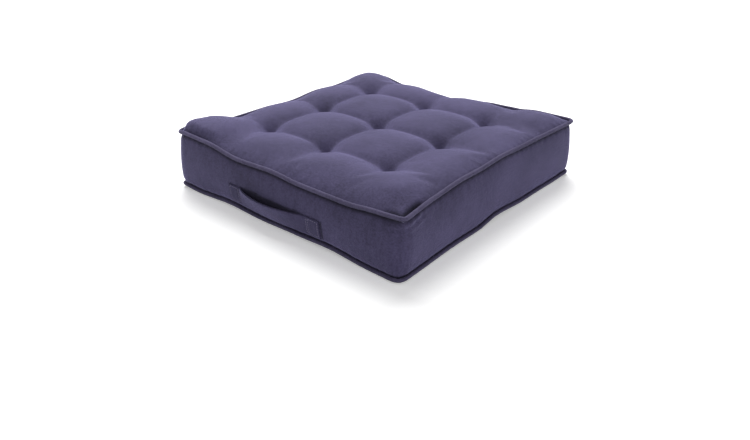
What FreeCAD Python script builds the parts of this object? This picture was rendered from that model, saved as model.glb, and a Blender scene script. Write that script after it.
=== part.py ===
"""Square floor cushion with a tufted top, piped edges and a carrying strap.

Millimetres. The origin is under the middle of the cushion, on the surface it stands on.
+Z is up, the strap is on the -Y side and the care label on the +Y side.
Each piece is cut, folded and laid as it is sewn, in its own solid.
"""
import FreeCAD, Part
import math
import os

V = FreeCAD.Vector
UP = V(0, 0, 1)

# The cushion
side = 500.0             # between the middles of the piping cords, left to right and front to back
boxing_height = 100.0    # of the side strip, from the bottom seam to the top seam
corner_radius = 14.0     # of the piping's line in plan
crown_rise = 25.0        # of the stuffed top above its own edges

# Cloth, cord and thread
cloth = 1.5              # thickness of the brushed cotton
allowance = 8.0          # turned in past each seam
piping_cord_d = 3.0
thread_d = 0.8
lay = 0.1                # between cloths that lie flat on each other
ease = 0.3               # between stuffed or curved neighbours

# Tufts
tuft_rows = 3
tuft_pitch = 136.0
valley_depth = 16.0      # of the fold that joins two tufts
valley_width = 30.0
tuft_depth = 12.0        # further down, at the tuft itself
tuft_width = 26.0
underside_tuft_depth = 14.0
underside_tuft_r = 34.0
underside_tuft_tip_r = 6.0
twine_d = 2.0
twine_bar = 8.0          # length of the stitch that shows at each end of a twine
channel_ease = 1.0       # of the filling round a twine

# Carrying strap
strap_width = 32.0
strap_offset = -6.0      # of its middle along X
strap_height = 34.5      # of its middle above the ground
strap_end = 30.0         # length sewn down at each end
strap_span = 150.0       # between the sewn ends, measured straight
strap_bow = 13.0         # gap behind the middle of the strap
strap_bend = 36.0        # length beside each sewn end that bends as the strap swings
strap_swing_deg = 18.0   # each way, about the line through the two sewn ends

# Strap stitches
stitch_length = 3.0
stitch_pitch = 4.2
stitch_stand = 0.4       # above the strap
stitch_inset = 3.0       # of the outer stitch lines from the strap's edges
double_line = 3.6        # between the two lines beside the free span

# Filling gap in the bottom seam, at the back
filling_gap = 240.0

# Care label
label_width = 28.0
label_height = 34.0
label_layer = 0.5
label_fold_gap = 0.2
label_x = 205.0          # of its middle
label_lift = 0.4         # of its hinge line above the piping

# Worked out
strap_t = 2 * cloth
flange_half = cloth + lay / 2
piping_r = piping_cord_d / 2 + lay + cloth
seam_bottom_z = max(cloth + lay + flange_half, piping_r + lay / 2)
seam_top_z = seam_bottom_z + boxing_height
panel_bottom_z = seam_bottom_z - flange_half - lay - cloth
panel_edge_z = seam_top_z + flange_half + lay + cloth
wall_in = math.sqrt((piping_r + lay) ** 2 - (flange_half + lay) ** 2)
flange_in = piping_r + allowance
thread_in = piping_r + 1.5 * thread_d
wall_half = side / 2 - wall_in
tufts = [tuft_pitch * (i - (tuft_rows - 1) / 2) for i in range(tuft_rows)]


def rounded_square(inset, z):
    """Outline parallel to the piping's line, that far inside it."""
    half = side / 2 - inset
    radius = max(corner_radius - inset, cloth)
    flat = half - radius
    bow = radius * math.sqrt(0.5)
    edges = []
    for quarter in range(4):
        turn = FreeCAD.Rotation(UP, 90 * quarter)
        low = turn.multVec(V(half, -flat, z))
        high = turn.multVec(V(half, flat, z))
        bend = turn.multVec(V(flat + bow, flat + bow, z))
        after = turn.multVec(V(flat, half, z))
        edges.append(Part.LineSegment(low, high).toShape())
        edges.append(Part.Arc(high, bend, after).toShape())
    return Part.Wire(edges)


def slab(inset, bottom, top):
    """Solid square with round corners, that far inside the piping's line."""
    return Part.Face(rounded_square(inset, bottom)).extrude(V(0, 0, top - bottom))


def edging(section):
    """Solid that carries a section, drawn outwards in X from the piping's line, all round the edge."""
    flat = side / 2 - corner_radius
    start = section.translated(V(side / 2, -flat, 0))
    run = start.extrude(V(0, 2 * flat, 0))
    corner = start.translated(V(0, 2 * flat, 0)).revolve(V(flat, flat, 0), UP, 90)
    pieces = []
    for quarter in range(4):
        for piece in (run, corner):
            pieces.append(piece.rotated(V(0, 0, 0), UP, 90 * quarter))
    return pieces[0].multiFuse(pieces[1:]).removeSplitter()


def polygon_section(points):
    corners = [V(u, 0, z) for u, z in points]
    return Part.Face(Part.makePolygon(corners + corners[:1]))


def round_section(u, z, diameter):
    circle = Part.Circle(V(u, 0, z), V(0, 1, 0), diameter / 2)
    return Part.Face(Part.Wire(circle.toShape()))


def rod(start, end, diameter):
    """Round bar between two points."""
    along = end - start
    return Part.makeCylinder(diameter / 2, along.Length, start, along)


def save(name, shape):
    if not isinstance(shape, Part.Shape) or not shape.Solids:
        raise ValueError("no solid in " + name)
    shape.exportStep(os.path.join("parts", name + ".step"))


# ---- Top panel: one square of cloth over the stuffed, tufted top ----

def lines_near(value):
    """1 on a line of tufts, falling to 0 away from it."""
    return sum(math.exp(-(((value - line) / valley_width) ** 2)) for line in tufts)


def top_height(x, y):
    """Height of the top: a crown, pressed in along the lines of tufts and deeper at each tuft."""
    half = side / 2 - wall_in
    over_x = 1 - (x / half) ** 4
    over_y = 1 - (y / half) ** 4
    valleys = valley_depth * (lines_near(x) * over_y + lines_near(y) * over_x) * over_x * over_y
    dips = 0.0
    for tuft_x in tufts:
        for tuft_y in tufts:
            away = math.hypot(x - tuft_x, y - tuft_y) / tuft_width
            dips += tuft_depth * math.exp(-away ** 2)
    return panel_edge_z + crown_rise * over_x * over_y - valleys - dips


def top_face():
    """The top's surface, drawn a little larger than the panel so that it can be trimmed."""
    reach = side / 2 + 4
    steps = 36
    grid = []
    for i in range(steps + 1):
        x = reach * (2 * i / steps - 1)
        grid.append([V(x, y, top_height(x, y)) for y in
                     (reach * (2 * j / steps - 1) for j in range(steps + 1))])
    surface = Part.BSplineSurface()
    surface.interpolate(grid)
    return surface.toShape()


def each_tuft():
    """Places of the tufts, from the front left one to the back right one."""
    return [(x, y) for y in tufts for x in tufts]


top_surface = top_face()
overhead = panel_edge_z + 2 * crown_rise
top_panel = top_surface.extrude(V(0, 0, -cloth)).common(slab(wall_in, 0, overhead))
for x, y in each_tuft():
    needle_hole = rod(V(x, y, 0), V(x, y, overhead), twine_d + 2 * ease)
    top_panel = top_panel.cut(needle_hole)
save("top_panel", top_panel)

# ---- Bottom panel: flat where it rests, drawn up into a cup at each tuft ----

bottom_panel = slab(wall_in, panel_bottom_z, panel_bottom_z + cloth)
cup_top = panel_bottom_z + underside_tuft_depth
for x, y in each_tuft():
    opening = Part.makeCylinder(underside_tuft_r, cloth, V(x, y, panel_bottom_z))
    outline = Part.makePolygon([
        V(x + underside_tuft_r, y, panel_bottom_z),
        V(x + underside_tuft_r, y, panel_bottom_z + cloth),
        V(x + underside_tuft_tip_r, y, cup_top + cloth),
        V(x + twine_d / 2 + ease, y, cup_top + cloth),
        V(x + twine_d / 2 + ease, y, cup_top),
        V(x + underside_tuft_tip_r, y, cup_top),
        V(x + underside_tuft_r, y, panel_bottom_z),
    ])
    cup = Part.Face(outline).revolve(V(x, y, 0), UP, 360)
    bottom_panel = bottom_panel.cut(opening).fuse(cup)
save("bottom_panel", bottom_panel.removeSplitter())

# ---- Piping: a folded strip of cloth round a cord, its two edges in the seam ----

def piping_section(z):
    """The strip's section: round the cord, then two layers side by side into the seam."""
    bore_r = piping_cord_d / 2 + lay
    slit = lay / 2
    outer_u = -math.sqrt(piping_r ** 2 - flange_half ** 2)
    inner_u = -math.sqrt(bore_r ** 2 - slit ** 2)
    outer_top, outer_bottom = V(outer_u, 0, z + flange_half), V(outer_u, 0, z - flange_half)
    inner_top, inner_bottom = V(inner_u, 0, z + slit), V(inner_u, 0, z - slit)
    edge = [V(-flange_in, 0, z + h) for h in (flange_half, slit, -slit, -flange_half)]
    return Part.Face(Part.Wire([
        Part.LineSegment(edge[0], outer_top).toShape(),
        Part.Arc(outer_top, V(piping_r, 0, z), outer_bottom).toShape(),
        Part.LineSegment(outer_bottom, edge[3]).toShape(),
        Part.LineSegment(edge[3], edge[2]).toShape(),
        Part.LineSegment(edge[2], inner_bottom).toShape(),
        Part.Arc(inner_bottom, V(bore_r, 0, z), inner_top).toShape(),
        Part.LineSegment(inner_top, edge[1]).toShape(),
        Part.LineSegment(edge[1], edge[0]).toShape(),
    ]))


for place, seam_z in (("top", seam_top_z), ("bottom", seam_bottom_z)):
    save(place + "_piping_cover", edging(piping_section(seam_z)))
    save(place + "_piping_cord", edging(round_section(0, seam_z, piping_cord_d)))

# ---- Boxing: two strips that make the side, joined upright at the left and right corners ----

wall_bottom = seam_bottom_z + flange_half + lay
wall_top = seam_top_z - flange_half - lay
boxing = edging(polygon_section([
    (-wall_in, wall_bottom),
    (-wall_in, wall_top),
    (-flange_in, wall_top),
    (-flange_in, wall_top - cloth),
    (-wall_in - cloth, wall_top - cloth),
    (-wall_in - cloth, wall_bottom + cloth),
    (-flange_in, wall_bottom + cloth),
    (-flange_in, wall_bottom),
]))
# From a corner's centre to the wall's inner face, along the diagonal through the corner
corner_middle = math.sqrt(2) * (side / 2 - corner_radius)
wall_inner_way = corner_middle + max(corner_radius - wall_in - cloth, cloth)
turned_in = 2 * cloth + lay


def corner_block(inwards, outwards, thick, bottom, top, corner):
    """Upright block on the diagonal at the right (+1) or left (-1) corner, from the wall's inner face."""
    block = Part.makeBox(inwards + outwards, thick, top - bottom,
                         V(wall_inner_way - inwards, -thick / 2, bottom))
    return block.rotated(V(0, 0, 0), UP, 45 if corner > 0 else 225)


thread_top_z = wall_top - cloth - lay - thread_d / 2
thread_bottom_z = wall_bottom + cloth + lay + thread_d / 2
upright_top = thread_top_z - thread_d / 2 - lay
upright_bottom = thread_bottom_z + thread_d / 2 + lay
for corner in (-1, 1):
    turned = corner_block(allowance, cloth / 2, turned_in, upright_bottom, upright_top, corner)
    slit = corner_block(2 * allowance + corner_radius, corner_radius, lay, 0, seam_top_z, corner)
    boxing = boxing.fuse(turned).cut(slit)
strips = sorted(boxing.removeSplitter().Solids, key=lambda strip: strip.CenterOfMass.x)
save("boxing_back", strips[0])
save("boxing_front", strips[-1])

# ---- Seam threads: each line of stitches lies along the turned-in edges ----

save("top_seam_thread", edging(round_section(-thread_in - cloth, thread_top_z, thread_d)))
bottom_thread = edging(round_section(-thread_in - cloth, thread_bottom_z, thread_d))


def gap_block(width):
    return Part.makeBox(width, side / 2, boxing_height, V(-width / 2, 0, 0))


save("bottom_seam_thread", bottom_thread.cut(gap_block(filling_gap)))
save("closing_seam_thread", bottom_thread.common(gap_block(filling_gap - 2 * ease)))
for name, corner in (("left", -1), ("right", 1)):
    along = wall_inner_way - thread_in
    across = lay / 2 + cloth + lay + thread_d / 2
    upright = rod(V(along, across, upright_bottom), V(along, across, upright_top), thread_d)
    save("boxing_seam_thread_" + name, upright.rotated(V(0, 0, 0), UP, 45 if corner > 0 else 225))

# ---- Filling: one fibre block, shaped by the cover, with a channel for each twine ----

core_bottom = panel_bottom_z + cloth + ease
belly_bottom = thread_bottom_z + thread_d / 2 + ease
belly_top = thread_top_z - thread_d / 2 - ease
core = slab(flange_in + ease, core_bottom, overhead)
belly = slab(wall_in + cloth + ease, belly_bottom, belly_top)
under_top = top_surface.translated(V(0, 0, -cloth - ease)).extrude(V(0, 0, -2 * overhead))
filling = core.fuse(belly).removeSplitter().common(under_top)
for corner in (-1, 1):
    room = turned_in + 2 * (lay + thread_d + ease)
    filling = filling.cut(corner_block(allowance + ease, corner_radius, room, 0, overhead, corner))
for x, y in each_tuft():
    over_cup = Part.makeCone(underside_tuft_r + ease, underside_tuft_tip_r + ease,
                             underside_tuft_depth, V(x, y, core_bottom))
    channel = rod(V(x, y, 0), V(x, y, overhead), twine_d + 2 * channel_ease)
    filling = filling.cut(over_cup).cut(channel)
save("filling", filling)

# ---- Tuft ties: twine through the whole cushion, with a short stitch at each end ----

for number, (x, y) in enumerate(each_tuft(), start=1):
    rim = max(top_height(x + along * twine_bar / 2, y + across * twine_d / 2)
              for along in (-1, 1) for across in (-1, 1))
    bar_top = rim + ease + twine_d / 2
    bar_bottom = cup_top - ease - twine_d / 2
    upright = rod(V(x, y, bar_bottom), V(x, y, bar_top), twine_d)
    bars = [rod(V(x - twine_bar / 2, y, z), V(x + twine_bar / 2, y, z), twine_d)
            for z in (bar_top, bar_bottom)]
    save(f"tuft_tie_{number}", upright.multiFuse(bars))

# ---- Carrying strap: one strip, sewn down at both ends and bowed between them ----
# An arc out, an arc back the other way and a third arc in make the bow. Their radius and
# angle follow from the span and the bow.

bow_angle = 2 * math.atan(strap_bow / (strap_span / 2))
bow_radius = strap_span / 2 / (2 * math.sin(bow_angle))
strap_out = lay + strap_t / 2


def strap_line(beyond):
    """Edges of the strap's line in plan, left to right, that far outside its middle layer."""
    def place(along, out):
        return V(strap_offset + along, -wall_half - strap_out - out, 0)

    def near(angle, mirror):
        along = -strap_span / 2 + (bow_radius - beyond) * math.sin(angle)
        return place(mirror * along, bow_radius - (bow_radius - beyond) * math.cos(angle))

    def middle(angle):
        out = strap_bow - bow_radius + (bow_radius + beyond) * math.cos(angle)
        return place((bow_radius + beyond) * math.sin(angle), out)

    half = bow_angle / 2
    far_end = strap_span / 2 + strap_end
    return [
        Part.LineSegment(place(-far_end, beyond), near(0, 1)).toShape(),
        Part.Arc(near(0, 1), near(half, 1), near(bow_angle, 1)).toShape(),
        Part.Arc(middle(-bow_angle), middle(0), middle(bow_angle)).toShape(),
        Part.Arc(near(bow_angle, -1), near(half, -1), near(0, -1)).toShape(),
        Part.LineSegment(near(0, -1), place(far_end, beyond)).toShape(),
    ]


inner, outer = strap_line(-strap_t / 2), strap_line(strap_t / 2)
left_cap = Part.LineSegment(inner[0].Vertexes[0].Point, outer[0].Vertexes[0].Point).toShape()
right_cap = Part.LineSegment(inner[-1].Vertexes[-1].Point, outer[-1].Vertexes[-1].Point).toShape()
outline = Part.Wire(Part.__sortEdges__(inner + outer + [left_cap, right_cap]))
strap = Part.Face(outline).extrude(V(0, 0, strap_width))
strap = strap.translated(V(0, 0, strap_height - strap_width / 2))
free_half = strap_span / 2 - strap_bend


def strap_part(start, end):
    """The stretch of the strap between two distances from its middle."""
    window = Part.makeBox(end - start, side, boxing_height, V(strap_offset + start, -1.5 * side, 0))
    return strap.common(window)


far_end = strap_span / 2 + strap_end + strap_t
save("handle_end_left", strap_part(-far_end, -free_half - ease))
save("handle_strap", strap_part(-free_half, free_half))
save("handle_end_right", strap_part(free_half + ease, far_end))

# ---- Strap stitches: two lines beside the free span, and one along each other edge ----

strap_face_y = -wall_half - lay - strap_t
strap_low = strap_height - strap_width / 2 + stitch_inset
strap_high = strap_height + strap_width / 2 - stitch_inset


def stitch_row(start, end):
    """Stitches in line between two points of the strap's outer face, given as X and Z."""
    way = V(end[0] - start[0], 0, end[1] - start[1])
    count = max(2, int(way.Length / stitch_pitch))
    way_one = way / way.Length
    stitches = []
    for i in range(count):
        middle = V(start[0], strap_face_y, start[1]) + way * ((i + 0.5) / count)
        half = way_one * (stitch_length / 2)
        size = V(abs(half.x) * 2 or thread_d, stitch_stand, abs(half.z) * 2 or thread_d)
        low = middle - V(size.x / 2, size.y, size.z / 2)
        stitches.append(Part.makeBox(size.x, size.y, size.z, low))
    return stitches


for name, sign in (("left", -1), ("right", 1)):
    seam_x = strap_offset + sign * (strap_span / 2 + stitch_inset)
    second_x = seam_x + sign * double_line
    last_x = strap_offset + sign * (strap_span / 2 + strap_end - stitch_inset)
    left_x, right_x = sorted((second_x + sign * thread_d, last_x - sign * thread_d))
    stitches = []
    for x in (seam_x, second_x, last_x):
        stitches += stitch_row((x, strap_low), (x, strap_high))
    for z in (strap_low, strap_high):
        stitches += stitch_row((left_x, z), (right_x, z))
    save("handle_stitching_" + name, Part.Compound(stitches))

# ---- Care label: a folded tape, caught in the bottom seam and standing against the back ----

label_t = 2 * label_layer + label_fold_gap
label_foot_z = seam_bottom_z + piping_r + label_lift
label_near = wall_half + ease
label_profile = [
    (label_near, label_foot_z),
    (label_near, label_foot_z + label_height),
    (label_near + label_t, label_foot_z + label_height),
    (label_near + label_t, label_foot_z),
    (label_near + label_t - label_layer, label_foot_z),
    (label_near + label_t - label_layer, label_foot_z + label_height - label_layer),
    (label_near + label_layer, label_foot_z + label_height - label_layer),
    (label_near + label_layer, label_foot_z),
    (label_near, label_foot_z),
]
label_left = label_x - label_width / 2
label_outline = Part.makePolygon([V(label_left, y, z) for y, z in label_profile])
save("care_label", Part.Face(label_outline).extrude(V(label_width, 0, 0)))

print("cushion wall half", round(wall_half, 3), "piping outside", round(side / 2 + piping_r, 3))
print("strap hinge y", round(-wall_half - strap_out, 3), "z", strap_height)
print("label hinge y", round(label_near + label_t / 2, 3), "z", round(label_foot_z, 3))
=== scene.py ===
import math

import bpy
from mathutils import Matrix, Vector


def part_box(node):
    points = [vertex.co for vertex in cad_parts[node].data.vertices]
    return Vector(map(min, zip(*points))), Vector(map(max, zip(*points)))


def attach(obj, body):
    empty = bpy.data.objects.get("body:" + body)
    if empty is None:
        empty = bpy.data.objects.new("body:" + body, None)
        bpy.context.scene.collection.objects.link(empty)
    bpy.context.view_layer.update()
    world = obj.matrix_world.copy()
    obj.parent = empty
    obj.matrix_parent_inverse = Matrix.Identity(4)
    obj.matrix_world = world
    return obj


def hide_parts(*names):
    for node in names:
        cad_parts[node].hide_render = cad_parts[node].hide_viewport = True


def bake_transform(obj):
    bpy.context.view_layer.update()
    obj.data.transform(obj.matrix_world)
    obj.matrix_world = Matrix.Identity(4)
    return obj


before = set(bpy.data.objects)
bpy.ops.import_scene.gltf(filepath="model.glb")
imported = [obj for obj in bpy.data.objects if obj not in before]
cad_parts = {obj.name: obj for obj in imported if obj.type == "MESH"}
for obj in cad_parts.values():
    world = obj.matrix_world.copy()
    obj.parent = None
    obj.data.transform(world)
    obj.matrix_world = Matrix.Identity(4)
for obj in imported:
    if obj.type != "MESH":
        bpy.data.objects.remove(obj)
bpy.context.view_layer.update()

# ---- The cover, cut, sewn and filled ----
# Square panels and side strips are sewn into one bag, stuffed, and pulled down at nine places by twine.
# The bag is settled here as one cloth under the pressure of its filling, with its seams held where the
# stuffed edges lie. The next section parts it into its pieces.

# Cloth nearer to a line than a hair counts as on it.
HAIR = 0.00001
CELLS = 88
SIDE_ROWS = 16
CLOTH = 0.0015
TWINE = 0.002
CORD_RADIUS = 0.0015
TUFTS = [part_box(f"tuft_tie_{number}") for number in range(1, 10)]
TUFT_PITCH = TUFTS[1][1].x - TUFTS[0][1].x
TOP_SEAM = (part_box("top_piping_cord")[0].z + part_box("top_piping_cord")[1].z) / 2
BOTTOM_SEAM = (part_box("bottom_piping_cord")[0].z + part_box("bottom_piping_cord")[1].z) / 2
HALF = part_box("top_piping_cord")[1].x - CORD_RADIUS - CLOTH

# For each sewn edge, in millimetres: how far its middle bows out, and how far it rises at places along
# it, measured from its middle. Past EDGE_REACH the panels don't follow it.
EDGE_REACH = 0.07
TOP_EDGES = {
    "front": (2, [(-250, 1), (-226, 5), (-170, 3), (-85, -6), (-5, -3), (60, -7), (150, -7), (210, -2),
                  (250, 1)]),
    "right": (-4, [(-250, 1), (-170, 3), (-100, 6), (-50, 5), (10, 7), (90, 4), (180, 2), (250, 1)]),
    "back": (-10, [(-250, -6), (-225, -2), (-200, -3), (-130, -12), (-80, -12), (-40, -18), (0, -14),
                   (45, -6), (90, -3), (140, -2), (180, 2), (250, 1)]),
    "left": (-8, [(-250, 1), (-225, 3), (-195, 1), (-130, -7), (-58, -7), (15, -11), (85, -7),
                  (150, -11), (200, -9), (250, -6)]),
}
BOTTOM_EDGES = {
    "front": (0, [(-250, 4), (-205, 0), (-120, 4), (-40, 1), (40, 3), (110, 5), (190, 0), (250, 1)]),
    "right": (0, [(-250, 1), (-200, 0), (-110, 2), (-50, 1), (5, 7), (100, 1), (190, 0), (250, 3)]),
    "back": (-1, [(-250, 3), (-130, 5), (-30, 0), (90, 4), (180, 0), (250, 3)]),
    "left": (-1, [(-250, 4), (-150, 1), (-60, 5), (70, 0), (170, 4), (250, 3)]),
}

# The side strips turn two corners on a seam and two without one. The first are sharp, the others round.
# Each corner stands a little out of square, and CORNER_PULLS gives its shift at the top and the bottom.
SEAMED_CORNER = 0.011
TOP_CORNER, SIDE_CORNER, BOTTOM_CORNER = 0.006, 0.026, 0.016
CORNER_REACH = 0.12
CORNER_PULLS = [(1, -1, Vector((0.007, 0.0, 0)), Vector((0.004, -0.004, 0))),
                (-1, 1, Vector((0.008, -0.008, 0)), Vector()),
                (1, 1, Vector((0.002, 0.002, 0)), Vector((0.005, 0.005, 0))),
                (-1, -1, Vector((-0.0015, -0.0015, 0)), Vector((-0.005, -0.005, 0)))]


def smooth(share):
    """0 to 1, easing in and out."""
    share = min(max(share, 0.0), 1.0)
    return share * share * (3 - 2 * share)


def along(points, place):
    """The value at a place on a smooth line through (place, value) points, both in millimetres."""
    place *= 1000
    for (start, low), (end, high) in zip(points, points[1:]):
        if place <= end:
            return (low + (high - low) * smooth((place - start) / (end - start))) / 1000
    return points[-1][1] / 1000


def edge_shift(edges, x, y):
    """How far a point near one sewn edge is carried sideways and up by it."""
    near = {
        "front": (max(0.0, 1 - (HALF + y) / EDGE_REACH) ** 2, x, Vector((0, -1, 0))),
        "right": (max(0.0, 1 - (HALF - x) / EDGE_REACH) ** 2, y, Vector((1, 0, 0))),
        "back": (max(0.0, 1 - (HALF - y) / EDGE_REACH) ** 2, x, Vector((0, 1, 0))),
        "left": (max(0.0, 1 - (HALF + x) / EDGE_REACH) ** 2, y, Vector((-1, 0, 0))),
    }
    shift = Vector()
    total = max(1.0, sum(weight for weight, _, _ in near.values()))
    for side, (weight, place, out) in near.items():
        bow, points = edges[side]
        shift += out * (bow / 1000 * weight * (1 - (place / HALF) ** 2))
        shift.z += along(points, place) * weight / total
    return shift


# Where the stuffing is fuller towards each corner, by how much, and over how far it rounds down to
# the rim.
FULL_CORNERS = [(-0.207, -0.207, 0.006, 0.012), (0.205, 0.205, 0.003, 0.045),
                (-0.205, 0.205, 0.003, 0.040), (0.176, -0.176, 0.0065, 0.055)]
FULL_REACH = 0.06
RIM_ROLL = 0.055
TUFT_PIT = 0.03


def furrow(place, outside):
    """1 on a line of tufts, less beside it: a crease between pillows, a soft dip towards the rim."""
    rim_reach, dip_width = 0.07, 0.034
    reach = TUFT_PITCH / 2 if abs(place) < TUFT_PITCH else rim_reach
    gap = min(abs(place - row * TUFT_PITCH) for row in (-1, 0, 1))
    crease = max(0.0, 1 - gap / reach) ** 3.5
    dip = math.exp(-((gap / dip_width) ** 2))
    return crease * (1 - outside) + 0.5 * dip * outside


def tuft_gap(tuft, x, y):
    """How far a place is from one tuft, along x and along y."""
    low, high = tuft
    return x - (low.x + high.x) / 2, y - (low.y + high.y) / 2


def puffed(x, y):
    """Height of the filled top over its seam: a round pillow between every four tufts."""
    crown, fold, pit = 0.0125, 0.0105, 0.0120
    outer_from, outer_over = 0.13, 0.07
    height = crown
    roll_width = RIM_ROLL
    for full_x, full_y, extra, width in FULL_CORNERS:
        share = smooth(1.5 - math.hypot(x - full_x, y - full_y) / FULL_REACH)
        height += extra * share
        roll_width += (width - RIM_ROLL) * share
    out_x, out_y = (smooth((abs(place) - outer_from) / outer_over) for place in (x, y))
    height -= fold * (furrow(x, out_y) + furrow(y, out_x) - furrow(x, 0) * furrow(y, 0) * 0.25)
    for tuft in TUFTS:
        away = math.hypot(*tuft_gap(tuft, x, y))
        height -= pit * max(0.0, 1 - away / TUFT_PIT) ** 2
    for place in (x, y):
        height *= 1 - max(0.0, 1 - (HALF - abs(place)) / roll_width) ** 2.4
    return height


def sagged(x, y):
    """How far the filled underside hangs under its seam, before it meets the ground."""
    depth, drawn_up = 0.012, 0.016
    hang = depth * (1 - (x / HALF) ** 4) * (1 - (y / HALF) ** 4)
    for tuft in TUFTS:
        away = math.hypot(*tuft_gap(tuft, x, y))
        hang -= drawn_up * math.exp(-((away / TUFT_PIT) ** 2))
    return hang


def rounded(x, y, radius):
    """A point of the square cut, moved so that the square's corners are round."""
    inner = HALF - radius
    past_x, past_y = abs(x) - inner, abs(y) - inner
    if past_x <= 0 or past_y <= 0:
        return x, y
    pull = max(past_x, past_y) / math.hypot(past_x, past_y)
    return math.copysign(inner + past_x * pull, x), math.copysign(inner + past_y * pull, y)


def pick_rims():
    """In edit mode, selects the open edges of the cloth and nothing else."""
    bpy.ops.mesh.select_mode(type="EDGE")
    bpy.ops.mesh.select_all(action="DESELECT")
    bpy.ops.mesh.select_non_manifold(
        extend=False, use_wire=False, use_boundary=True, use_multi_face=False,
        use_non_contiguous=False, use_verts=False,
    )


bpy.ops.object.select_all(action="DESELECT")
panels = []
for height in (TOP_SEAM, BOTTOM_SEAM):
    bpy.ops.mesh.primitive_grid_add(
        x_subdivisions=CELLS, y_subdivisions=CELLS, size=2 * HALF, location=(0, 0, height)
    )
    bpy.ops.object.transform_apply(location=True, rotation=True, scale=True)
    panels.append(bpy.context.object)
panels[0].select_set(True)
bpy.ops.object.join()
cover = bpy.context.object
cover.name = "cover"
bpy.ops.object.mode_set(mode="EDIT")
pick_rims()
bpy.ops.mesh.bridge_edge_loops(number_cuts=SIDE_ROWS - 1, interpolation="LINEAR")
bpy.ops.mesh.select_all(action="SELECT")
bpy.ops.mesh.normals_make_consistent(inside=False)
bpy.ops.object.mode_set(mode="OBJECT")

COVER_PARTS = ("top_panel", "bottom_panel", "boxing_front", "boxing_back")
for part in COVER_PARTS:
    cover.data.materials.append(bpy.data.materials.new("cut_" + part))
for face in cover.data.polygons:
    if face.center.z > TOP_SEAM - HAIR:
        face.material_index = 0
    elif face.center.z < BOTTOM_SEAM + HAIR:
        face.material_index = 1
    elif face.center.y < HAIR - HALF or face.center.x > HALF - HAIR:
        face.material_index = 2
    else:
        face.material_index = 3

# The cut is drawn into the stuffed shape that the cloth settles from. Cloth under a tie's stitch and
# along the seams is held there. The rest may swell: freely on top, less underneath, and little at the
# sides.
SIDE_SWELL = 0.006
TIE_HOLD_X, TIE_HOLD_Y = 0.0045, 0.0035
TIE_CLEAR = 0.0002
LOOSE_REACH = 0.05
LOOSE_TOP, LOOSE_UNDER, LOOSE_SIDE = 1.0, 0.4, 0.08


def under_stitch(tuft, x, y):
    """Whether a place of a panel lies under the stitch of this tie."""
    gap_x, gap_y = tuft_gap(tuft, x, y)
    return abs(gap_x) < TIE_HOLD_X and abs(gap_y) < TIE_HOLD_Y


cuts = []
held = cover.vertex_groups.new(name="held")
snug = cover.vertex_groups.new(name="snug")
for vertex in cover.data.vertices:
    x, y, z = vertex.co
    level = (z - BOTTOM_SEAM) / (TOP_SEAM - BOTTOM_SEAM)
    level = 0.5 * level + 0.25 * (1 - math.cos(math.pi * level))
    z = BOTTOM_SEAM + level * (TOP_SEAM - BOTTOM_SEAM)
    cuts += (x, y, z)
    in_top, in_bottom = z > TOP_SEAM - HAIR, z < BOTTOM_SEAM + HAIR
    at_rim = max(abs(x), abs(y)) > HALF - HAIR
    up = smooth(level)
    middle = 4 * level * (1 - level)
    radius = (TOP_CORNER * level + BOTTOM_CORNER * (1 - level)) * (1 - middle) + SIDE_CORNER * middle
    if x * y > 0:
        radius = SEAMED_CORNER
    place = Vector((*rounded(x, y, radius), z))
    place += edge_shift(TOP_EDGES, x, y) * up + edge_shift(BOTTOM_EDGES, x, y) * (1 - up)
    for side_x, side_y, top_pull, bottom_pull in CORNER_PULLS:
        near = max(0.0, 1 - math.hypot(x - side_x * HALF, y - side_y * HALF) / CORNER_REACH) ** 2
        place += (top_pull * up + bottom_pull * (1 - up)) * near
    if in_top:
        place.z += puffed(x, y)
    elif in_bottom:
        place.z -= sagged(x, y)
    else:
        swell = SIDE_SWELL * middle
        if abs(x) > HALF - HAIR:
            place.x += math.copysign(swell * (1 - 0.5 * (y / HALF) ** 6), x)
        if abs(y) > HALF - HAIR:
            place.y += math.copysign(swell * (1 - 0.5 * (x / HALF) ** 6), y)
    tie = next((tuft for tuft in TUFTS if (in_top or in_bottom) and under_stitch(tuft, x, y)), None)
    if tie:
        place.z = tie[1].z - TWINE - TIE_CLEAR if in_top else tie[0].z + TWINE + TIE_CLEAR
    vertex.co = place
    if tie or ((in_top or in_bottom) and at_rim):
        held.add([vertex.index], 1.0, "REPLACE")
    inside = (HALF - max(abs(x), abs(y))) / LOOSE_REACH
    loose = LOOSE_SIDE
    if in_top or in_bottom:
        loose = min(LOOSE_TOP if in_top else LOOSE_UNDER, inside)
    snug.add([vertex.index], 1 - loose, "REPLACE")
cover.data.attributes.new("cut_place", "FLOAT_VECTOR", "POINT").data.foreach_set("vector", cuts)

bpy.ops.object.modifier_add(type="CLOTH")
settle = cover.modifiers[-1]
cotton = settle.settings
cotton.quality = 5
cotton.mass = 0.3
cotton.tension_stiffness = 5
cotton.compression_stiffness = 5
cotton.shear_stiffness = 5
cotton.bending_stiffness = 5
cotton.use_pressure = True
cotton.uniform_pressure_force = 8
cotton.effector_weights.gravity = 0
cotton.vertex_group_mass = "held"
cotton.vertex_group_shrink = "snug"
cotton.shrink_max = 0
cotton.shrink_min = -0.004
settle.collision_settings.use_collision = False
settle.collision_settings.use_self_collision = False
settle.point_cache.frame_start = 1
settle.point_cache.frame_end = 18
for step in range(1, settle.point_cache.frame_end + 1):
    bpy.context.scene.frame_set(step)
bpy.ops.object.modifier_apply(modifier=settle.name)
bpy.context.scene.frame_set(1)

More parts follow.
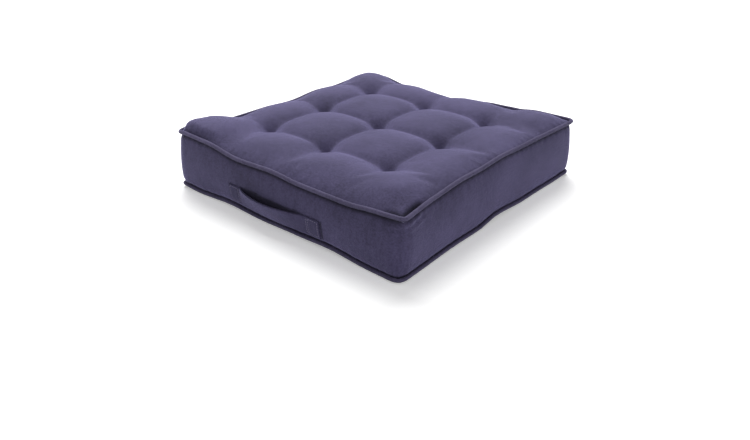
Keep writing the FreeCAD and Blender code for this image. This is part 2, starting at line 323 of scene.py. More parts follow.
cut_points = [item.vector.copy() for item in cover.data.attributes["cut_place"].data]
crease = cover.data.attributes.new("crease_edge", "FLOAT", "EDGE")
for edge in cover.data.edges:
    ends = [cut_points[index] for index in edge.vertices]
    rim = all(max(abs(end.x), abs(end.y)) > HALF - HAIR for end in ends)
    on_top = all(end.z > TOP_SEAM - HAIR for end in ends)
    on_bottom = all(end.z < BOTTOM_SEAM + HAIR for end in ends)
    if rim and (on_top or on_bottom):
        crease.data[edge.index].value = 1.0


def copied(piece, name):
    """A copy of a piece, with its own mesh."""
    copy = piece.copy()
    copy.data = piece.data.copy()
    copy.name = name
    copy.data.name = name
    bpy.context.collection.objects.link(copy)
    return copy


# The filling is made from the bag as it is now. The cover goes on at twice the detail.
filling = copied(cover, "filling_fibre")
filling.select_set(False)
bpy.ops.object.modifier_add(type="SUBSURF")
cover.modifiers[-1].levels = 1
cover.modifiers[-1].render_levels = 1
bpy.ops.object.modifier_apply(modifier=cover.modifiers[-1].name)


# ---- Top panel, side strips and bottom panel ----
# Four pieces of the same cotton, 1.5 mm thick, parted from the bag along its seams. The two side strips
# meet in upright seams at the left front and right back corners, so the front right corner is wrapped
# without a seam.

# The ground presses the underside flat. The seams draw in the cloth beside them, in small puckers, and a
# band of painted shade beside each seam darkens the crease. At the ear, the top panel's point at the
# front right corner, the crease beside the seam is deeper, its painted shade wider and full, and short
# folds lie in the side strip under it. The side strips are also painted darker towards their top.
GROUND_BEND = 0.003
SIDE_TUCK, TOP_TUCK, EAR_TUCK = 0.0031, 0.0005, 0.0060
TUCK_FROM, TUCK_WIDTH = 0.003, 0.0070
PUCKER, EAR_PUCKER = 0.0003, 0.0009
PUCKER_FROM, PUCKER_WIDTH = 0.004, 0.016
WAVE_SHIFT = 0.3
EAR_BACK, EAR_REACH = 0.02, 0.035
FOLD_DEPTH, FOLD_PITCH, FOLD_SLANT = 0.0009, 0.0018, 0.12
FOLD_FROM, FOLD_TO, FOLD_FADE = 0.008, 0.032, 0.014
# Painted shade: widths of the dark band beside the top, side and bottom seams, its share on the top panel
# away from the ear, and how much darker the side strips are painted at their top.
TOP_SHADE_WIDTH, SIDE_SHADE_WIDTH, BOTTOM_SHADE_WIDTH = 0.0048, 0.0088, 0.0048
TOP_SHADE_SHARE, SIDE_TOP_SHADE = 0.2, 0.22


def pucker(run):
    """Uneven waves along a seam, from -1 to 1."""
    return 0.6 * math.sin(run / 0.0026 + 1.7 * math.sin(run / 0.021)) + 0.4 * math.sin(run / 0.0061 + 0.8)


def from_seam(cut):
    """How far along the cloth a place of the cut is from the nearest edge seam."""
    return HALF - max(abs(cut.x), abs(cut.y)) + min(TOP_SEAM - cut.z, cut.z - BOTTOM_SEAM)


def ear_share(cut):
    """1 at the ear, 0 away from it."""
    return smooth(1.4 - math.hypot(cut.x - HALF, cut.y + HALF - EAR_BACK) / EAR_REACH)


def ear_fold(cut):
    """Folds down the side strip under the ear, from -1 to 1."""
    drop = TOP_SEAM - cut.z
    wave = math.sin((drop + FOLD_SLANT * (cut.y + HALF)) / FOLD_PITCH)
    return wave * smooth(drop / FOLD_FROM) * smooth((FOLD_TO - drop) / FOLD_FADE)


cut_places = [item.vector.copy() for item in cover.data.attributes["cut_place"].data]
normals = [vertex.normal.copy() for vertex in cover.data.vertices]
painted_shade = []
for vertex, cut, normal in zip(cover.data.vertices, cut_places, normals):
    seam_gap = from_seam(cut)
    ear = ear_share(cut)
    if cut.z > TOP_SEAM - HAIR:
        gather = PUCKER
        tuck = TOP_TUCK + EAR_TUCK * ear
        folded = 0.0
        side_top_shade = 0.0
        seam_shade_width = TOP_SHADE_WIDTH * (1 + ear)
        seam_shade_share = TOP_SHADE_SHARE + (1 - TOP_SHADE_SHARE) * ear
    else:
        gather = PUCKER + EAR_PUCKER * ear * cut.z / TOP_SEAM
        tuck = SIDE_TUCK
        folded = FOLD_DEPTH * ear * ear_fold(cut)
        # Painted shade: the side strips are darker towards their top, so their lower part reads lighter,
        # as if lit from the floor.
        side_top_shade = SIDE_TOP_SHADE * smooth(cut.z / TOP_SEAM)
        seam_shade_width = SIDE_SHADE_WIDTH if cut.z > TOP_SEAM / 2 else BOTTOM_SHADE_WIDTH
        seam_shade_share = 1.0
    run = cut.x if abs(cut.y) > abs(cut.x) else cut.y
    wave = pucker(run + WAVE_SHIFT * math.copysign(1, cut.x))
    near = math.exp(-((seam_gap / PUCKER_WIDTH) ** 2)) * smooth(seam_gap / PUCKER_FROM)
    place = vertex.co + normal * (gather * near * wave) + normal * folded
    place -= normal * (tuck * math.exp(-((seam_gap / TUCK_WIDTH) ** 2)) * smooth(seam_gap / TUCK_FROM))
    if place.z < 2 * GROUND_BEND:
        place.z = (max(place.z, -2 * GROUND_BEND) + 2 * GROUND_BEND) ** 2 / (8 * GROUND_BEND)
    vertex.co = place
    # Painted shade kept in the mesh: the dark band beside the seams, or the side strips' painted
    # darkening towards their top, whichever is more.
    painted_shade.append(max(side_top_shade, seam_shade_share * math.exp(-((seam_gap / seam_shade_width) ** 4))))
cover.data.attributes.new("painted_shade", "FLOAT", "POINT").data.foreach_set("value", painted_shade)

bpy.ops.object.mode_set(mode="EDIT")
bpy.ops.mesh.select_all(action="SELECT")
bpy.ops.mesh.separate(type="MATERIAL")
bpy.ops.object.mode_set(mode="OBJECT")
cloth_parts = {}
for piece in list(bpy.context.selected_objects):
    part = piece.data.materials[piece.data.polygons[0].material_index].name.removeprefix("cut_")
    cloth_parts[part] = piece
    piece.name = part + "_cloth"
    piece.data.name = part + "_cloth"


# The cloth is a soft, dusty navy-purple cotton with a short raised nap. The panels, the side strips, the
# piping and the strap are all cut from it, so its colour, nap and weave are one group of nodes.
# The near-black colour of painted shade.
IN_SHADE = (0.004, 0.003, 0.008, 1)


def node_group(name, inputs, outputs):
    """A new group of nodes with these named sockets, and its input and output nodes."""
    group = bpy.data.node_groups.new(name, "ShaderNodeTree")
    for label, kind in inputs:
        group.interface.new_socket(label, in_out="INPUT", socket_type=kind)
    for label, kind in outputs:
        group.interface.new_socket(label, in_out="OUTPUT", socket_type=kind)
    return group, group.nodes.new("NodeGroupInput"), group.nodes.new("NodeGroupOutput")


def maths(tree, operation, first, second):
    """A Math node of two sockets or numbers."""
    node = tree.nodes.new("ShaderNodeMath")
    node.operation = operation
    for socket, value in zip(node.inputs, (first, second)):
        if isinstance(value, (int, float)):
            socket.default_value = value
        else:
            tree.links.new(value, socket)
    return node.outputs[0]


def noise(tree, vector, scale, detail, roughness=0.5):
    """A cloudy pattern from 0 to 1."""
    node = tree.nodes.new("ShaderNodeTexNoise")
    node.inputs["Scale"].default_value = scale
    node.inputs["Detail"].default_value = detail
    node.inputs["Roughness"].default_value = roughness
    tree.links.new(vector, node.inputs["Vector"])
    return node.outputs["Fac"]


def mixed(tree, share, first, second):
    """A colour between two, by a share from 0 to 1."""
    node = tree.nodes.new("ShaderNodeMix")
    node.data_type = "RGBA"
    tree.links.new(share, node.inputs[0])
    for socket, value in zip(node.inputs[6:8], (first, second)):
        if isinstance(value, tuple):
            socket.default_value = value
        else:
            tree.links.new(value, socket)
    return node.outputs[2]


def brushed_cotton():
    """The cloth's colour, roughness and height, with painted shade where the mesh's shade attribute is
    set and on faces that look down.
    """
    group, given, result = node_group(
        "brushed_cotton",
        [("Vector", "NodeSocketVector"), ("Facing", "NodeSocketVector"),
         ("Dark", "NodeSocketColor"), ("Light", "NodeSocketColor")],
        [("Colour", "NodeSocketColor"), ("Roughness", "NodeSocketFloat"), ("Height", "NodeSocketFloat")],
    )
    vector = given.outputs["Vector"]
    stretch = group.nodes.new("ShaderNodeVectorMath")
    stretch.operation = "MULTIPLY"
    stretch.inputs[1].default_value = (1, 1, 0.4)
    group.links.new(vector, stretch.inputs[0])
    clouds = noise(group, vector, 9, 2)
    brushing = noise(group, stretch.outputs[0], 90, 4, 0.65)
    mottle = noise(group, vector, 320, 3, 0.7)
    nap = noise(group, vector, 900, 3, 0.7)
    waves = []
    for axis in "XYZ":
        wave = group.nodes.new("ShaderNodeTexWave")
        wave.bands_direction = axis
        wave.inputs["Scale"].default_value = 390
        wave.inputs["Distortion"].default_value = 0.6
        group.links.new(vector, wave.inputs["Vector"])
        waves.append(wave.outputs["Fac"])
    weave = maths(group, "MAXIMUM", maths(group, "MULTIPLY", waves[0], waves[1]),
                  maths(group, "MULTIPLY", maths(group, "ADD", waves[0], waves[1]),
                        maths(group, "MULTIPLY", waves[2], 0.5)))
    tone = maths(group, "ADD", clouds, maths(group, "MULTIPLY", brushing, 0.65))
    tone = maths(group, "ADD", tone, maths(group, "MULTIPLY", mottle, 1.15))
    tone = maths(group, "ADD", tone, maths(group, "MULTIPLY", nap, 0.5))
    tone = maths(group, "SUBTRACT", tone, 1.17)
    # Painted shade: the shade stored in the mesh and, on rolled pieces, faces that look down mix the
    # colour towards IN_SHADE, at most nine tenths.
    shade_input = group.nodes.new("ShaderNodeAttribute")
    shade_input.attribute_name = "painted_shade"
    facing = group.nodes.new("ShaderNodeSeparateXYZ")
    group.links.new(given.outputs["Facing"], facing.inputs[0])
    under = maths(group, "MAXIMUM", maths(group, "MULTIPLY", facing.outputs[2], -1.6), 0)
    under = maths(group, "MULTIPLY", under, 0.8)
    shade_mix = maths(group, "MINIMUM", maths(group, "ADD", shade_input.outputs["Fac"], under), 0.9)
    colour = mixed(group, tone, given.outputs["Dark"], given.outputs["Light"])
    group.links.new(mixed(group, shade_mix, colour, IN_SHADE), result.inputs["Colour"])
    roughness = maths(group, "ADD", maths(group, "MULTIPLY", brushing, 0.12), 0.84)
    group.links.new(roughness, result.inputs["Roughness"])
    woven = maths(group, "MULTIPLY", weave, 0.12)
    height = maths(group, "ADD", maths(group, "MULTIPLY", nap, 0.8), woven)
    height = maths(group, "ADD", height, maths(group, "MULTIPLY", mottle, 0.9))
    group.links.new(height, result.inputs["Height"])
    return group


BRUSHED_COTTON = brushed_cotton()


def cotton_material(name, dark, light, turn=0.0, sheen=0.5, shade_under=False):
    """Brushed cotton of one colour. Turn is its weave's angle; the last flag paints shade on the faces
    that look down.
    """
    material = bpy.data.materials.new(name)
    material.use_nodes = True
    tree = material.node_tree
    shader = tree.nodes["Principled BSDF"]
    place = tree.nodes.new("ShaderNodeTexCoord")
    turned = tree.nodes.new("ShaderNodeMapping")
    turned.inputs["Rotation"].default_value = (turn, turn, turn)
    fabric = tree.nodes.new("ShaderNodeGroup")
    fabric.node_tree = BRUSHED_COTTON
    fabric.inputs["Dark"].default_value = dark
    fabric.inputs["Light"].default_value = light
    bump = tree.nodes.new("ShaderNodeBump")
    bump.inputs["Strength"].default_value = 0.5
    bump.inputs["Distance"].default_value = 0.001
    tree.links.new(place.outputs["Object"], turned.inputs["Vector"])
    tree.links.new(turned.outputs["Vector"], fabric.inputs["Vector"])
    if shade_under:
        tree.links.new(place.outputs["Normal"], fabric.inputs["Facing"])
    tree.links.new(fabric.outputs["Colour"], shader.inputs["Base Color"])
    tree.links.new(fabric.outputs["Roughness"], shader.inputs["Roughness"])
    tree.links.new(fabric.outputs["Height"], bump.inputs["Height"])
    tree.links.new(bump.outputs["Normal"], shader.inputs["Normal"])
    shader.inputs["Specular IOR Level"].default_value = 0.2
    shader.inputs["Sheen Weight"].default_value = sheen
    shader.inputs["Sheen Roughness"].default_value = 0.35
    shader.inputs["Sheen Tint"].default_value = (0.60, 0.56, 1.0, 1.0)
    return material


COVER_COTTON = cotton_material(
    "cover_cotton", (0.018, 0.015, 0.038, 1), (0.082, 0.071, 0.150, 1), sheen=0.75
)


def dress(piece, material):
    """Gives a piece this material and no other."""
    piece.data.materials.clear()
    piece.data.materials.append(material)


def pick(piece):
    """Selects one piece alone."""
    bpy.ops.object.select_all(action="DESELECT")
    bpy.context.view_layer.objects.active = piece
    piece.select_set(True)


def modified(piece, kind, **values):
    """Adds a modifier with these values and applies it."""
    pick(piece)
    bpy.ops.object.modifier_add(type=kind)
    modifier = piece.modifiers[-1]
    for name, value in values.items():
        setattr(modifier, name, value)
    bpy.ops.object.modifier_apply(modifier=modifier.name)


def shade(piece, degrees=50):
    """Shades a piece smooth, apart from edges sharper than this."""
    pick(piece)
    bpy.ops.object.shade_smooth_by_angle(angle=math.radians(degrees))


def seam_ring(panel, name):
    """The edge where a panel meets the side strips. Piping, cord and thread all follow it."""
    ring = copied(panel, name)
    pick(ring)
    bpy.ops.object.mode_set(mode="EDIT")
    pick_rims()
    bpy.ops.mesh.select_mode(type="VERT")
    bpy.ops.mesh.select_all(action="INVERT")
    bpy.ops.mesh.delete(type="VERT")
    bpy.ops.object.mode_set(mode="OBJECT")
    return ring


top_ring = seam_ring(cloth_parts["top_panel"], "top_ring")
bottom_ring = seam_ring(cloth_parts["bottom_panel"], "bottom_ring")

for part, piece in cloth_parts.items():
    modified(piece, "SOLIDIFY", thickness=CLOTH, offset=-1)
    dress(piece, COVER_COTTON)
    shade(piece)
    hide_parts(part)
    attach(piece, "root")


# ---- Piping ----
# A bias-cut strip of the cover cloth, folded round a cord and caught in each seam, so it stands out of
# the edge as a thin roll with a shadow line on each side.

# How far the middle of each roll lies outside its seam and above it, and the roll's radius.
PIPING_OUT, PIPING_UP, PIPING_RADIUS = 0.0026, 0.0012, 0.0034
BOTTOM_OUT, BOTTOM_UP, BOTTOM_RADIUS = 0.0006, -0.0004, 0.0030
GROUND_GAP = 0.0001
ROLL_SIDES = 12
SNUG_REACH, SNUG_SHARE = 0.04, 0.8
RIDGE_HEIGHT = 0.00012


def outward(place):
    """The level direction out of the cushion at a point of its edge."""
    return Vector(((place.x / HALF) ** 9, (place.y / HALF) ** 9, 0)).normalized()


def roll(ring, name, out, up, radius, keep=None, sides=ROLL_SIDES):
    """A round tube beside a seam ring, over the stretch of it that keep() accepts.

    It is drawn in close at the left front corner, where the side strips meet.
    """
    line = copied(ring, name)
    for vertex in line.data.vertices:
        snug_corner = max(0.0, 1 - math.hypot(vertex.co.x + HALF, vertex.co.y + HALF) / SNUG_REACH)
        vertex.co += outward(vertex.co) * (out * (1 - SNUG_SHARE * snug_corner)) + Vector((0, 0, up))
    pick(line)
    if keep:
        for vertex in line.data.vertices:
            vertex.select = not keep(vertex.co)
        bpy.ops.object.mode_set(mode="EDIT")
        bpy.ops.mesh.delete(type="VERT")
        bpy.ops.object.mode_set(mode="OBJECT")
    bpy.ops.object.convert(target="CURVE")
    line.data.bevel_depth = radius
    line.data.bevel_resolution = sides // 2 - 2
    line.data.use_fill_caps = True
    bpy.ops.object.convert(target="MESH")
    return bpy.context.object


def bias_ridges(place):
    """Fine slanting ridges where the bias strip is pulled round its cord, about -1.6 to 1.6."""
    fine = math.sin((place.x + place.y + 0.8 * place.z) / 0.0021)
    return fine + 0.6 * math.sin((place.x - 1.3 * place.y) / 0.0052)


# Painted shade darkens the piping's faces that look down.
PIPING_COTTON = cotton_material(
    "piping_cotton", (0.034, 0.029, 0.060, 1), (0.098, 0.085, 0.158, 1),
    turn=math.radians(45), sheen=0.3, shade_under=True,
)

for edge_name, ring, out, up, radius in (
    ("top", top_ring, PIPING_OUT, PIPING_UP, PIPING_RADIUS),
    ("bottom", bottom_ring, BOTTOM_OUT, BOTTOM_UP, BOTTOM_RADIUS),
):
    strip = roll(ring, edge_name + "_piping_strip", out, up, radius)
    for vertex in strip.data.vertices:
        vertex.co += outward(vertex.co) * (RIDGE_HEIGHT * bias_ridges(vertex.co))
        vertex.co.z = max(vertex.co.z, GROUND_GAP)
    dress(strip, PIPING_COTTON)
    shade(strip)
    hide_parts(edge_name + "_piping_cover")
    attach(strip, "root")


# ---- Piping cords ----
# A soft white cotton cord inside each piping strip, which gives the roll its body. It follows the same
# seam as the strip, and the bottom one lies a little above the strip's middle, clear of the ground.

BOTTOM_CORD_UP = 0.0001


def plain_thread(name, dark, light, scale, roughness=0.8):
    """A spun material: two close colours in fine streaks."""
    material = bpy.data.materials.new(name)
    material.use_nodes = True
    tree = material.node_tree
    shader = tree.nodes["Principled BSDF"]
    place = tree.nodes.new("ShaderNodeTexCoord")
    streaks = noise(tree, place.outputs["Object"], scale, 3, 0.6)
    tree.links.new(mixed(tree, streaks, dark, light), shader.inputs["Base Color"])
    tree.links.new(maths(tree, "ADD", maths(tree, "MULTIPLY", streaks, 0.15), roughness - 0.1),
                   shader.inputs["Roughness"])
    bump = tree.nodes.new("ShaderNodeBump")
    bump.inputs["Strength"].default_value = 0.4
    bump.inputs["Distance"].default_value = 0.0002
    tree.links.new(streaks, bump.inputs["Height"])
    tree.links.new(bump.outputs["Normal"], shader.inputs["Normal"])
    return material


CORD_COTTON = plain_thread("cord_cotton", (0.45, 0.42, 0.36, 1), (0.75, 0.72, 0.64, 1), 700, 0.9)
for edge_name, ring, out, up in (
    ("top", top_ring, PIPING_OUT, PIPING_UP),
    ("bottom", bottom_ring, BOTTOM_OUT, BOTTOM_CORD_UP),
):
    cord = roll(ring, edge_name + "_cord_core", out, up, CORD_RADIUS, sides=8)
    dress(cord, CORD_COTTON)
    shade(cord)
    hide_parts(edge_name + "_piping_cord")
    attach(cord, "root")


# ---- Seam threads ----
# The lockstitch just inside each seam, which holds panel, piping and side strip together. The bottom one
# stops at the gap where the filling went in, and a second line of stitches closes that gap.

THREAD_RADIUS = 0.0004
THREAD_IN = -0.0045
THREAD_UP = 0.0032
THREAD_GAP = 0.004
GAP_LOW, GAP_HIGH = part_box("closing_seam_thread")


def in_gap(place):
    """Whether a place of the bottom seam is in the gap where the filling went in."""
    return place.y > 0 and GAP_LOW.x < place.x < GAP_HIGH.x


def out_of_gap(place):
    """Whether it is clear of the gap, and of the ends of the stitches that close it."""
    return not (place.y > 0 and GAP_LOW.x - THREAD_GAP < place.x < GAP_HIGH.x + THREAD_GAP)


SEWING_THREAD = plain_thread("sewing_thread", (0.085, 0.076, 0.13, 1), (0.18, 0.16, 0.27, 1), 1500, 0.6)
for name, ring, up, keep in (
    ("top_seam_thread", top_ring, -THREAD_UP, None),
    ("bottom_seam_thread", bottom_ring, THREAD_UP, out_of_gap),
    ("closing_seam_thread", bottom_ring, THREAD_UP, in_gap),
):
    thread = roll(ring, name + "_run", THREAD_IN, up, THREAD_RADIUS, keep, sides=6)
    dress(thread, SEWING_THREAD)
    shade(thread)
    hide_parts(name)
    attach(thread, "root")
for name in ("boxing_seam_thread_left", "boxing_seam_thread_right"):
    dress(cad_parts[name], SEWING_THREAD)
for ring in (top_ring, bottom_ring):
    bpy.data.objects.remove(ring)


# ---- Filling ----
# Loose polyester fibre that fills the cover out. It is the bag's own shape, a few millimetres smaller,
# and further in along the seams, where the cover's edges are tucked.

FIBRE_GAP = 0.004
FIBRE_TUCK, FIBRE_TUCK_WIDTH = 0.006, 0.014
FIBRE_LEVEL = 0.6
pick(filling)
bpy.ops.object.mode_set(mode="EDIT")
bpy.ops.mesh.select_all(action="SELECT")
bpy.ops.transform.shrink_fatten(value=-FIBRE_GAP)
bpy.ops.object.mode_set(mode="OBJECT")
for vertex, cut in zip(filling.data.vertices, cut_points):
    tucked = FIBRE_TUCK * math.exp(-((from_seam(cut) / FIBRE_TUCK_WIDTH) ** 2))
    vertex.co -= outward(vertex.co) * tucked
    vertex.co.z += math.copysign(FIBRE_LEVEL * tucked, TOP_SEAM / 2 - cut.z)
    vertex.co.z = max(vertex.co.z, FIBRE_GAP)
dress(filling, plain_thread("fibre_filling", (0.62, 0.61, 0.58, 1), (0.86, 0.85, 0.82, 1), 260, 0.95))
shade(filling)
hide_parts("filling")
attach(filling, "root")


# ---- Tuft ties ----
# Waxed twine through the whole cushion at each tuft, with a short stitch at each end. They keep their
# designed shape, and the cover meets them.

TUFTING_TWINE = plain_thread("tufting_twine", (0.045, 0.04, 0.07, 1), (0.10, 0.09, 0.14, 1), 900, 0.7)
for number in range(1, len(TUFTS) + 1):
    dress(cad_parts[f"tuft_tie_{number}"], TUFTING_TWINE)


# ---- Carrying strap ----
# A folded strip of the cover cloth, two layers thick, sewn down flat at both ends. Its free middle bows
# out from the side, more at its upper edge than at its lower one.

LEFT_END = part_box("handle_end_left")
RIGHT_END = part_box("handle_end_right")
STRAP_LOW, STRAP_HIGH = LEFT_END[0].z, LEFT_END[1].z
STRAP_LEFT, STRAP_RIGHT = LEFT_END[0].x, RIGHT_END[1].x
SEWN = 0.03
STRAP_T = 0.0026
STRAP_BOW, LOWER_BOW = 0.0125, 0.08
STRAP_DIP = 0.0030
BED_GAP, FREE_GAP = 0.0002, 0.0008
STITCH_INSET = 0.003
DOUBLE_LINE = 0.0036
RAISED, RAISED_WIDTH = 0.0005, 0.0012
SHADE_DEPTH, SHADE_OVER, END_SHADE = 0.95, 0.001, 0.0032
WELL_OUTSIDE = 0.4
front_face = cloth_parts["boxing_front"]


def side_face(piece, x, z, direction):
    """The outermost y of a side piece at one place."""
    start = Vector((x, -direction * WELL_OUTSIDE, z))
    hit, place, _, _ = piece.ray_cast(start, Vector((0, direction, 0)))
    return place.y if hit else -direction * HALF


def free_share(x):
    """How far along the strap's free span a place is: 0 and 1 where the sewn ends begin."""
    return (x - STRAP_LEFT - SEWN) / (STRAP_RIGHT - STRAP_LEFT - 2 * SEWN)


# Painted shadow: the side behind the strap is darkened where the strap shades it, and so is a line along
# its right end.
strap_shadow = front_face.data.attributes["painted_shade"].data
for vertex in front_face.data.vertices:
    x, y, z = vertex.co
    if y >= 0 or z <= STRAP_LOW:
        continue
    if 0 < free_share(x) < 1 and z < STRAP_HIGH + SHADE_OVER:
        strap_shadow[vertex.index].value = SHADE_DEPTH * math.sin(math.pi * free_share(x) ** 0.7) ** 0.5
    if 0 < x - STRAP_RIGHT < END_SHADE and z < STRAP_HIGH:
        strap_shadow[vertex.index].value = SHADE_DEPTH


def strap_back(x, z):
    """The y of the strap's inner face at a place along and up it."""
    bed = side_face(front_face, x, z, 1) - BED_GAP
    share = free_share(x)
    if not 0 < share < 1:
        return bed
    start = side_face(front_face, STRAP_LEFT + SEWN, z, 1)
    end = side_face(front_face, STRAP_RIGHT - SEWN, z, 1)
    level = (z - STRAP_LOW) / (STRAP_HIGH - STRAP_LOW)
    bow = STRAP_BOW * math.sin(math.pi * share ** 0.75) * (LOWER_BOW + (1 - LOWER_BOW) * level)
    chord = start * (1 - share) + end * share
    return min(chord - BED_GAP - bow, bed - FREE_GAP * math.sin(math.pi * share))


def strap_place(across, up):
    """A point of the strap's inner face, given as shares of its length and width."""
    x = STRAP_LEFT + across * (STRAP_RIGHT - STRAP_LEFT)
    z = STRAP_LOW + up * (STRAP_HIGH - STRAP_LOW)
    sag = math.sin(math.pi * min(max(free_share(x), 0), 1))
    return Vector((x, strap_back(x, z), z - STRAP_DIP * sag))


def one_layer(name, columns, rows, place_of, facing):
    """A single layer of cloth, laid at place_of(across, up) and facing along y this way."""
    bpy.ops.object.select_all(action="DESELECT")
    bpy.ops.mesh.primitive_grid_add(x_subdivisions=columns, y_subdivisions=rows, size=1)
    layer = bpy.context.object
    layer.name = name
    layer.data.name = name
    for vertex in layer.data.vertices:
        vertex.co = place_of(vertex.co.x + 0.5, vertex.co.y + 0.5)
    bpy.ops.object.mode_set(mode="EDIT")
    bpy.ops.mesh.select_all(action="SELECT")
    bpy.ops.mesh.normals_make_consistent(inside=False)
    bpy.ops.object.mode_set(mode="OBJECT")
    if layer.data.polygons[0].normal.y * facing < 0:
        layer.data.flip_normals()
    return layer


strap = one_layer("carrying_strap", 100, 12, strap_place, -1)
modified(strap, "SOLIDIFY", thickness=STRAP_T, offset=1)
modified(strap, "BEVEL", width=0.0008, segments=3, limit_method="ANGLE", angle_limit=math.radians(60))
for vertex in strap.data.vertices:
    from_end = min(vertex.co.x - STRAP_LEFT, STRAP_RIGHT - vertex.co.x)
    if from_end < SEWN:
        for line in (STITCH_INSET, SEWN - STITCH_INSET, SEWN - STITCH_INSET - DOUBLE_LINE):
            vertex.co.y += RAISED * math.exp(-(((from_end - line) / RAISED_WIDTH) ** 2))
# A darker copy of the cover cloth it is cut from: painted shade on the strap.
SHADED_STRAP_COTTON = cotton_material(
    "shaded_strap_cotton", (0.014, 0.012, 0.031, 1), (0.062, 0.053, 0.114, 1), sheen=0.55
)
dress(strap, SHADED_STRAP_COTTON)
shade(strap, 40)
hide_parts("handle_strap", "handle_end_left", "handle_end_right")
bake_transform(strap)


# ---- Strap stitches ----
# Lockstitches that hold the strap's sewn ends, in a thread a little lighter than the cloth. Two lines run
# beside the free span, and one along each other edge. Each stitch lies half sunk in the strap.

STITCH = 0.003
STITCH_PITCH = 0.0042
STITCH_RADIUS = 0.00065
STITCH_SINK = 0.0001
ROW_INSET = 0.001


def stitch_line(start, end):
    """Stitches between two places of the strap's face, given as x and z."""
    run = Vector((end[0] - start[0], 0, end[1] - start[1]))
    count = max(2, int(run.length / STITCH_PITCH))
    thin, long = STITCH_RADIUS, STITCH / 2
    size = (thin, thin, long) if abs(run.z) > abs(run.x) else (long, thin, thin)
    for number in range(count):
        middle = Vector((start[0], 0, start[1])) + run * ((number + 0.5) / count)
        middle.y = side_face(strap, middle.x, middle.z, 1) + STITCH_SINK
        bpy.ops.mesh.primitive_uv_sphere_add(segments=8, ring_count=6, radius=1, location=middle)
        stitch = bpy.context.object
        stitch.scale = size
        bpy.ops.object.transform_apply(location=True, rotation=True, scale=True)
        yield stitch


for side, sign, last in (("left", -1, STRAP_LEFT), ("right", 1, STRAP_RIGHT)):
    outer = last - sign * STITCH_INSET
    inner = last - sign * (SEWN - STITCH_INSET)
    second = inner + sign * DOUBLE_LINE
    low, high = STRAP_LOW + STITCH_INSET, STRAP_HIGH - STITCH_INSET
    stitches = []
    bpy.ops.object.select_all(action="DESELECT")
    for x in (inner, second, outer):
        stitches += stitch_line((x, low), (x, high))
    for z in (low, high):
        stitches += stitch_line((second + sign * ROW_INSET, z), (outer - sign * ROW_INSET, z))
    for stitch in stitches:
        stitch.select_set(True)
    bpy.context.view_layer.objects.active = stitches[0]
    bpy.ops.object.join()
    joined = bpy.context.object
    joined.name = "strap_stitches_" + side
    joined.data.name = joined.name
    dress(joined, SEWING_THREAD)
    shade(joined, 80)
    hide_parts("handle_stitching_" + side)
    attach(joined, "root")


# ---- Care label ----
# A folded satin tape, caught in the bottom seam at the back. Its foot stays in the seam. The rest lies up
# against the side and lifts away from it.

LABEL_LOW, LABEL_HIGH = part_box("care_label")
LABEL_T = 0.0011
LABEL_GAP, LABEL_LEAN, LABEL_CURL = 0.0004, 0.002, 0.0006
back_face = cloth_parts["boxing_back"]


def label_place(across, up):
    """A point of the label's inner face, given as shares of its width and height."""
    x = LABEL_LOW.x + across * (LABEL_HIGH.x - LABEL_LOW.x)
    z = LABEL_LOW.z + up * (LABEL_HIGH.z - LABEL_LOW.z)
    lean = LABEL_GAP + LABEL_LEAN * up ** 2 + LABEL_CURL * math.sin((across - 0.5) * 5) * up
    return Vector((x, side_face(back_face, x, z, -1) + lean, z))


label = one_layer("care_label_tape", 12, 24, label_place, 1)
modified(label, "SOLIDIFY", thickness=LABEL_T, offset=1)
modified(label, "BEVEL", width=0.0003, segments=2, limit_method="ANGLE", angle_limit=math.radians(60))
LABEL_SATIN = plain_thread("label_satin", (0.008, 0.008, 0.011, 1), (0.02, 0.02, 0.028, 1), 1200, 0.6)
LABEL_SATIN.node_tree.nodes["Principled BSDF"].inputs["Specular IOR Level"].default_value = 0.25
dress(label, LABEL_SATIN)
shade(label, 40)
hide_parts("care_label")
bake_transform(label)


# ---- Floor, lights and camera ----
# A plain pale floor with a faint glow of its own, in soft studio light: an even surround, a large panel
# overhead, behind and to the left, and two small weak ones low down, at the right and at the left front.

SURROUND, SEEN_EXTRA = 0.37, 0.60

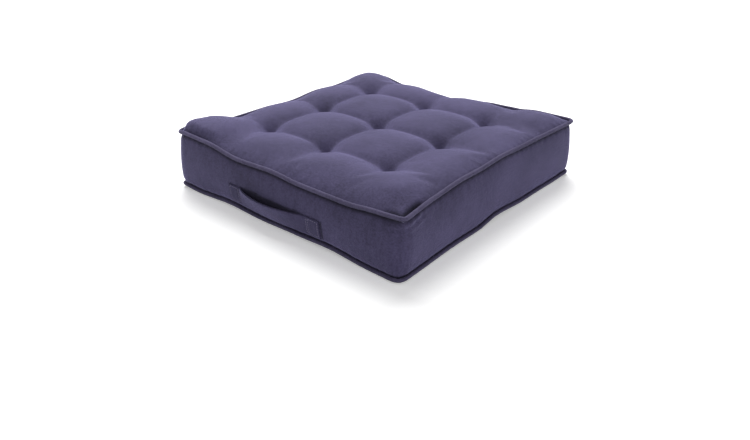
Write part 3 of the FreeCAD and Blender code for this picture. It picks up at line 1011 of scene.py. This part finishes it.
bpy.ops.object.select_all(action="DESELECT")
bpy.ops.mesh.primitive_plane_add(size=60, location=(0, 0, -0.0005))
floor = bpy.context.object
floor.name = "floor"
bpy.ops.object.transform_apply(location=True, rotation=True, scale=True)
floor_paint = bpy.data.materials.new("floor_paint")
floor_paint.use_nodes = True
floor_shader = floor_paint.node_tree.nodes["Principled BSDF"]
floor_shader.inputs["Base Color"].default_value = (0.88, 0.88, 0.88, 1)
floor_shader.inputs["Roughness"].default_value = 0.8
floor_shader.inputs["Emission Color"].default_value = (1, 1, 1, 1)
floor_shader.inputs["Emission Strength"].default_value = 0.3
dress(floor, floor_paint)

scene = bpy.context.scene
world = bpy.data.worlds.new("studio")
scene.world = world
world.use_nodes = True
surround = world.node_tree.nodes["Background"]
surround.inputs["Color"].default_value = (1, 1, 1, 1)
seen = world.node_tree.nodes.new("ShaderNodeLightPath").outputs["Is Camera Ray"]
strength = maths(world.node_tree, "ADD", maths(world.node_tree, "MULTIPLY", seen, SEEN_EXTRA), SURROUND)
world.node_tree.links.new(strength, surround.inputs["Strength"])
scene.view_settings.view_transform = "Standard"


def soft_light(name, place, size, power):
    """A round panel of light that faces the middle of the scene."""
    bpy.ops.object.light_add(type="AREA", location=place)
    light = bpy.context.object
    light.name = name
    light.data.shape = "DISK"
    light.data.size = size
    light.data.energy = power
    light.rotation_euler = Vector(place).to_track_quat("Z", "Y").to_euler()


soft_light("overhead_panel", (-1.25, 1.2, 2.5), 2.6, 136)
soft_light("side_panel", (2.0, -0.4, 0.55), 1.0, 8)
soft_light("left_panel", (-1.25, -0.8, 0.40), 0.6, 2.8)

AZIMUTH = math.radians(40.59)
ELEVATION = math.radians(28.21)
DISTANCE = 1.305
AIM = Vector((0.0181, -0.0315, -0.0666))
LENS = 33.67
toward = Vector((
    math.sin(AZIMUTH) * math.cos(ELEVATION),
    -math.cos(AZIMUTH) * math.cos(ELEVATION),
    math.sin(ELEVATION),
))
bpy.ops.object.camera_add(location=AIM + toward * DISTANCE)
camera = bpy.context.object
camera.rotation_euler = toward.to_track_quat("Z", "Y").to_euler()
camera.data.lens = LENS
camera.data.sensor_width = 36
scene.camera = camera
